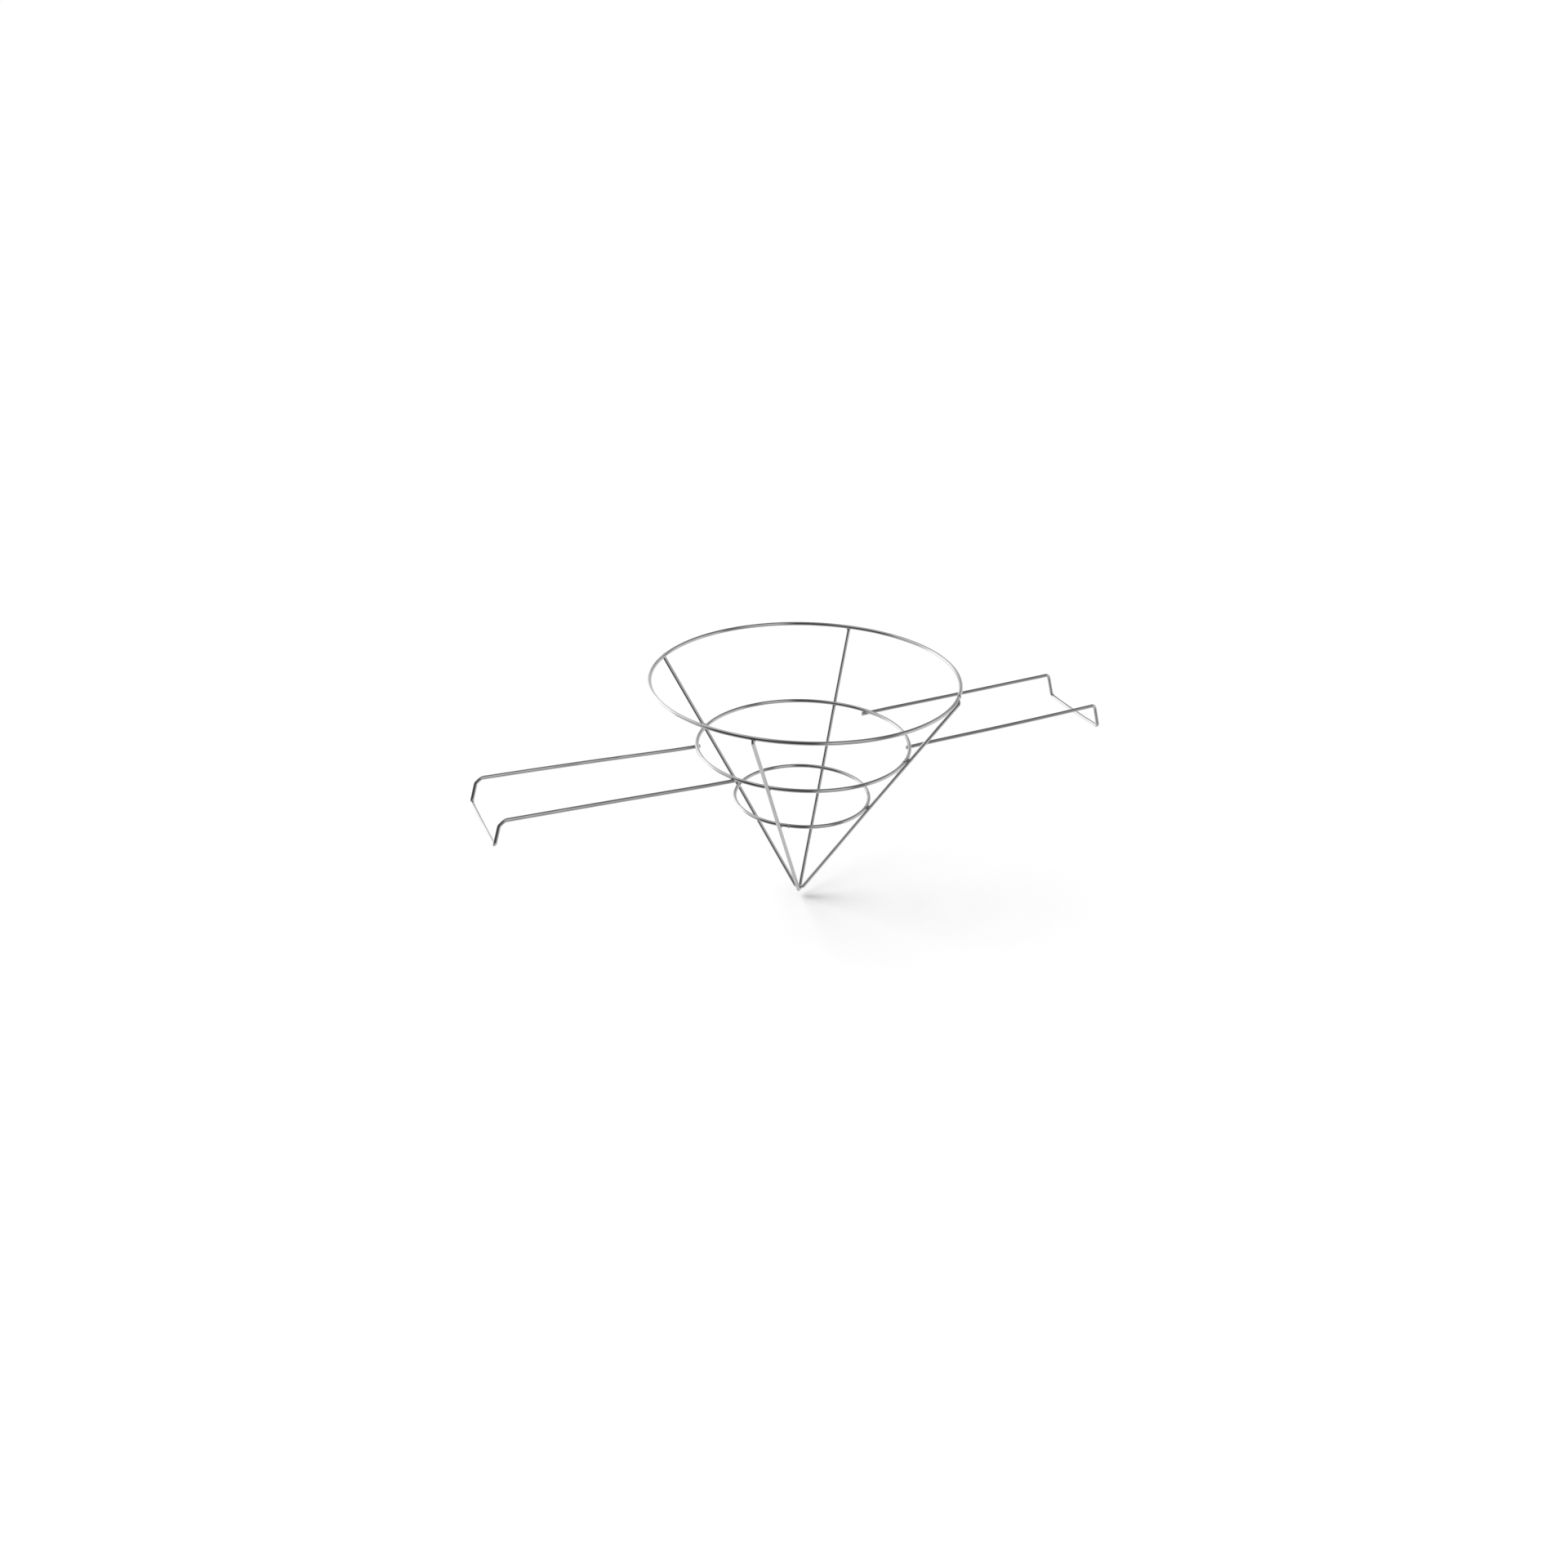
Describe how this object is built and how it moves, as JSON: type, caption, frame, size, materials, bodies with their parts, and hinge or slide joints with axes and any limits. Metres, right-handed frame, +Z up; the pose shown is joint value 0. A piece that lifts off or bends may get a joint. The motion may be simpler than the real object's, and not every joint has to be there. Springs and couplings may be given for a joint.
{
  "type": "filter cone rack",
  "caption": "Plated wire cone of welded rings and V-shaped ribs, with hooked arms that rest across a pot's rim and hold a paper filter cone.",
  "frame": {"origin": "on the cone's axis, level with the rim of the 360 mm pot that the undersides of the arms rest on", "axes": "+Z up along the cone's axis, away from its tip; +X out along the arm that turns down in one bend, and the other arm runs out along -X"},
  "size_m": [0.5657, 0.2572, 0.2047],
  "materials": {
    "chrome_wire": "bright chrome plate over drawn steel wire",
    "plated_weld": "rough weld metal under the same plate, darker in the crevices"
  },
  "bodies": {
    "root": {"top_ring": "chrome_wire", "middle_ring": "chrome_wire", "bottom_ring": "chrome_wire", "outer_rib_wire": "chrome_wire", "inner_rib_wire": "chrome_wire", "left_arm_wire": "chrome_wire", "right_arm_wire": "chrome_wire", "top_ring_seam": "plated_weld", "middle_ring_seam": "plated_weld", "bottom_ring_seam": "plated_weld", "top_ring_welds": "plated_weld", "middle_ring_welds": "plated_weld", "bottom_ring_welds": "plated_weld", "arm_welds": "plated_weld", "tip_weld": "plated_weld"}
  },
  "joints": []
}
